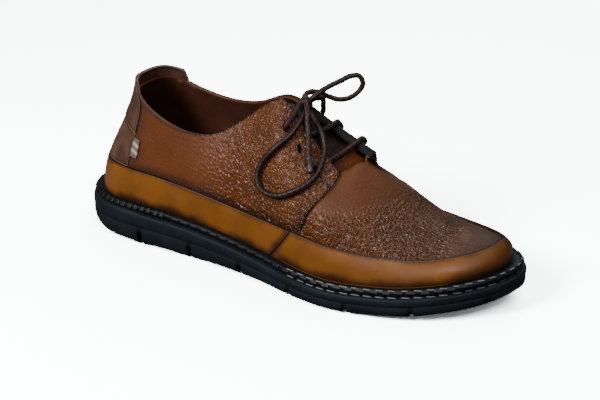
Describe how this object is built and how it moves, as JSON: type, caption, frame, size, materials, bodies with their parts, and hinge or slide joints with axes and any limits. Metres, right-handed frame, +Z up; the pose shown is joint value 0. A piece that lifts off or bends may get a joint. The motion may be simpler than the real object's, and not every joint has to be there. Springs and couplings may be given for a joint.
{
  "type": "casual lace-up shoe",
  "caption": "Low casual derby-style leather shoe with a thick rubber sole, a smooth leather rand, pebbled quarters, a raised heel tab and tied round laces.",
  "frame": {"origin": "on the floor, under the middle of the sole's length and of its widest width", "axes": "+X from the heel to the toe, +Y to the inner side of the foot, +Z up"},
  "size_m": [0.3, 0.1072, 0.1192],
  "materials": {
    "rubber": "satin",
    "grain_leather": "satin",
    "tan_leather": "satin",
    "dark_leather": "satin",
    "footbed_cloth": "matte",
    "ribbon_cloth": "matte",
    "lacing": "satin",
    "aglet_metal": "satin"
  },
  "bodies": {
    "root": {"welt": "rubber", "midsole": "rubber", "outsole": "rubber", "insole": "footbed_cloth", "upper": "grain_leather", "rand_rear": "tan_leather", "rand_front": "tan_leather", "backstay": "dark_leather", "heel_tab": "dark_leather", "quarter_outer": "grain_leather", "quarter_inner": "grain_leather", "ribbon": "ribbon_cloth", "tongue": "dark_leather", "lace_lower": "lacing", "lace_middle": "lacing", "lace_knot": "lacing", "lace_outer": "lacing", "lace_inner": "lacing", "loop_standing": "lacing", "loop_drooping": "lacing", "lace_end": "lacing", "aglet": "aglet_metal"}
  },
  "joints": []
}
